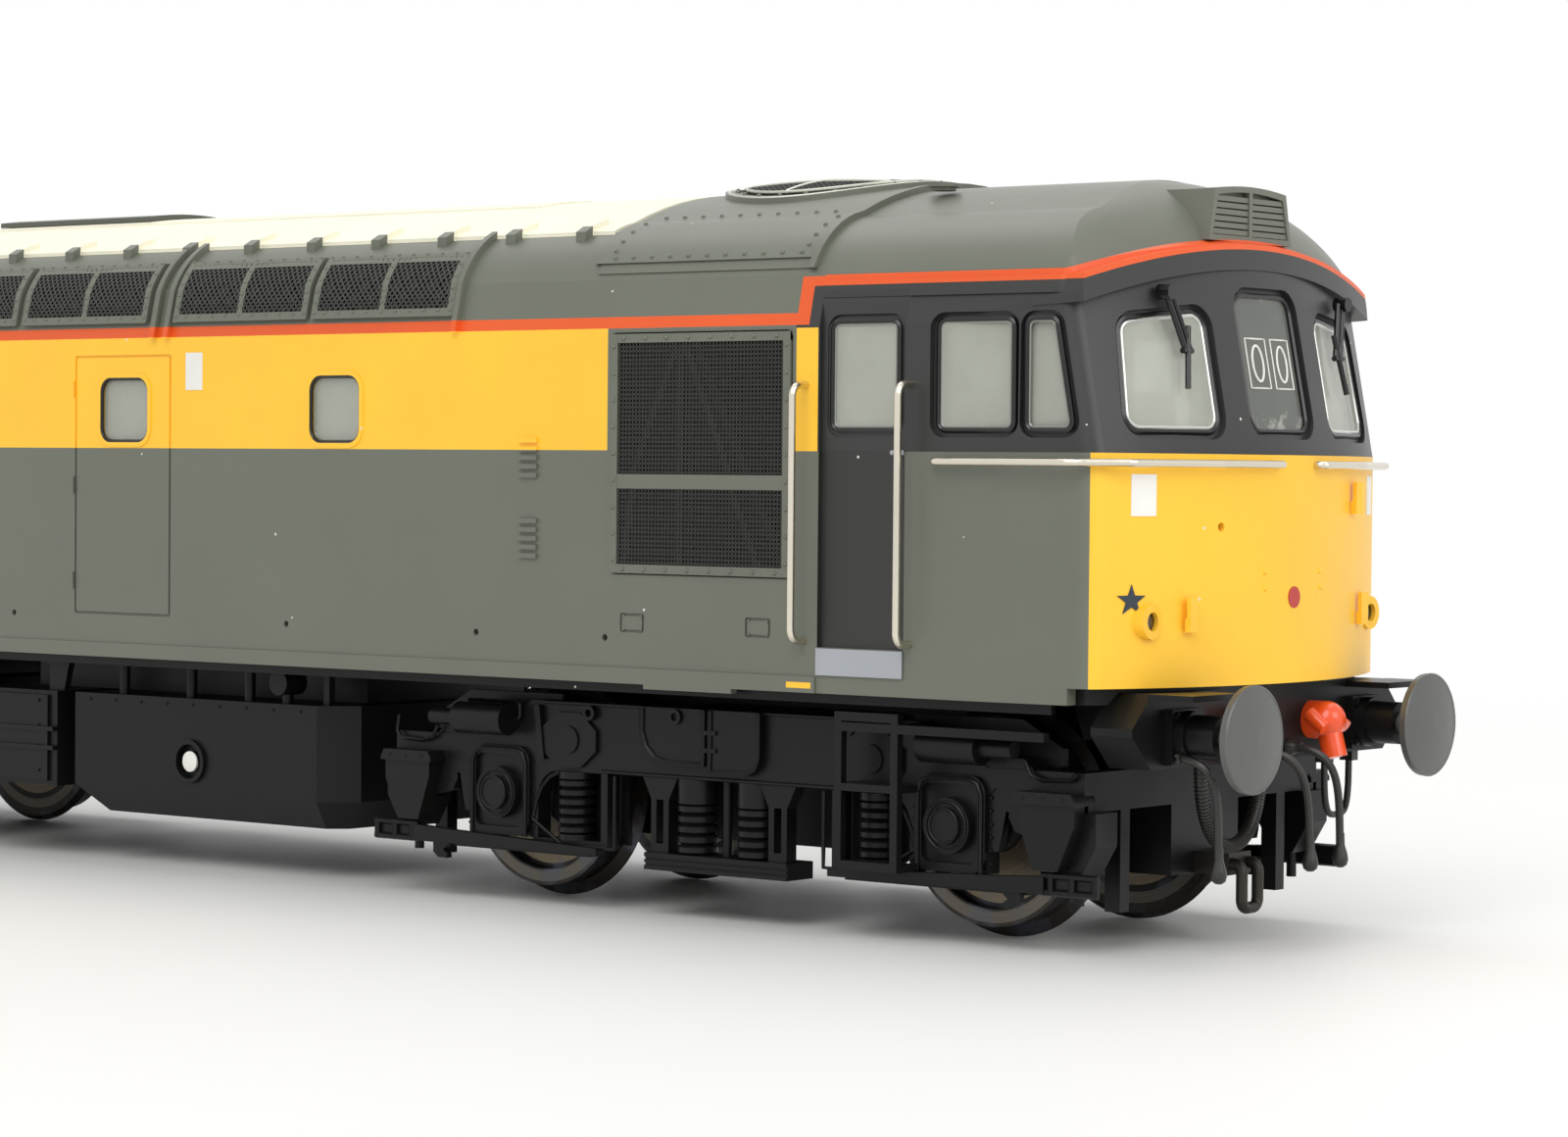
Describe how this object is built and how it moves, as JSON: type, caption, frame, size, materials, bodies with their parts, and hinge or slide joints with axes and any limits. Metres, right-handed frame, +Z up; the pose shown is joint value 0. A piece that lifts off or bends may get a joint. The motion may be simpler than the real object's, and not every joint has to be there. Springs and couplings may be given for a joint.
{
  "type": "scale model diesel locomotive",
  "caption": "Scale model of a double-ended diesel locomotive: hollow painted body with a cab at each end, on two swivelling bogies whose flanged wheelsets roll.",
  "frame": {"origin": "below the middle of the body, on the surface that the wheel flanges stand on", "axes": "+X along the locomotive towards its front cab, +Y to its left, +Z up"},
  "size_m": [0.2, 0.0404, 0.0523],
  "materials": {
    "body_paint": "satin paint with colour bands",
    "bright_trim": "bright metal",
    "buffer_steel": "satin metal",
    "cab_paint": "satin paint with colour bands",
    "cast_chassis": "matt cast block",
    "coupling_steel": "blackened steel",
    "grille_metal": "satin painted etched metal",
    "headcode_grey": "matt paint",
    "hose_black": "matt moulding",
    "interior_grey": "matt moulding",
    "rail_wire": "drawn wire",
    "socket_orange": "gloss paint",
    "underframe_black": "matt moulding",
    "wheel_steel": "blackened and turned steel",
    "window_glazing": "clear moulding, gloss",
    "wiper_black": "satin"
  },
  "bodies": {
    "body": {"battery_boxes": "underframe_black", "body_glazing": "window_glazing", "body_shell": "body_paint", "buffers": "buffer_steel", "cab_door_trim": "bright_trim", "cab_glazing_front": "window_glazing", "cab_glazing_rear": "window_glazing", "cab_interior_front": "interior_grey", "cab_interior_rear": "interior_grey", "cab_roof_vents": "body_paint", "cab_shell_front": "cab_paint", "cab_shell_rear": "cab_paint", "cantrail_grilles_left": "grille_metal", "cantrail_grilles_right": "grille_metal", "chassis_block": "cast_chassis", "control_sockets": "socket_orange", "end_hoses_front": "hose_black", "end_hoses_rear": "hose_black", "fan_grille": "grille_metal", "fuel_tank": "underframe_black", "handrails_front": "rail_wire", "handrails_rear": "rail_wire", "headcode_panels": "headcode_grey", "lamp_irons": "bright_trim", "radiator_grilles": "grille_metal", "roof_grille": "grille_metal", "underfloor_pipes": "underframe_black", "underframe": "underframe_black", "wipers": "wiper_black"},
    "bogie_front": {"bogie_frame_front": "underframe_black", "bogie_springs_front": "underframe_black", "axleboxes_front": "underframe_black", "brake_gear_front": "underframe_black", "cab_steps_front": "underframe_black", "coupling_front": "coupling_steel"},
    "bogie_rear": {"bogie_frame_rear": "underframe_black", "bogie_springs_rear": "underframe_black", "axleboxes_rear": "underframe_black", "brake_gear_rear": "underframe_black", "cab_steps_rear": "underframe_black", "coupling_rear": "coupling_steel"},
    "wheelset_1": {"wheelset_1": "wheel_steel"},
    "wheelset_2": {"wheelset_2": "wheel_steel"},
    "wheelset_3": {"wheelset_3": "wheel_steel"},
    "wheelset_4": {"wheelset_4": "wheel_steel"}
  },
  "joints": [
    {"name": "bogie_front_swivel", "type": "hinge", "parent": "body", "child": "bogie_front", "pos_m": [0.058, 0, 0.0166], "axis": [0, 0, 1], "range_deg": [-8, 8]},
    {"name": "bogie_rear_swivel", "type": "hinge", "parent": "body", "child": "bogie_rear", "pos_m": [-0.058, 0, 0.0166], "axis": [0, 0, 1], "range_deg": [-8, 8]},
    {"name": "wheelset_1_spin", "type": "hinge", "parent": "bogie_front", "child": "wheelset_1", "pos_m": [0.0782, 0, 0.008], "axis": [0, 1, 0], "continuous": true},
    {"name": "wheelset_2_spin", "type": "hinge", "parent": "bogie_front", "child": "wheelset_2", "pos_m": [0.0378, 0, 0.008], "axis": [0, 1, 0], "continuous": true},
    {"name": "wheelset_3_spin", "type": "hinge", "parent": "bogie_rear", "child": "wheelset_3", "pos_m": [-0.0378, 0, 0.008], "axis": [0, 1, 0], "continuous": true},
    {"name": "wheelset_4_spin", "type": "hinge", "parent": "bogie_rear", "child": "wheelset_4", "pos_m": [-0.0782, 0, 0.008], "axis": [0, 1, 0], "continuous": true}
  ]
}
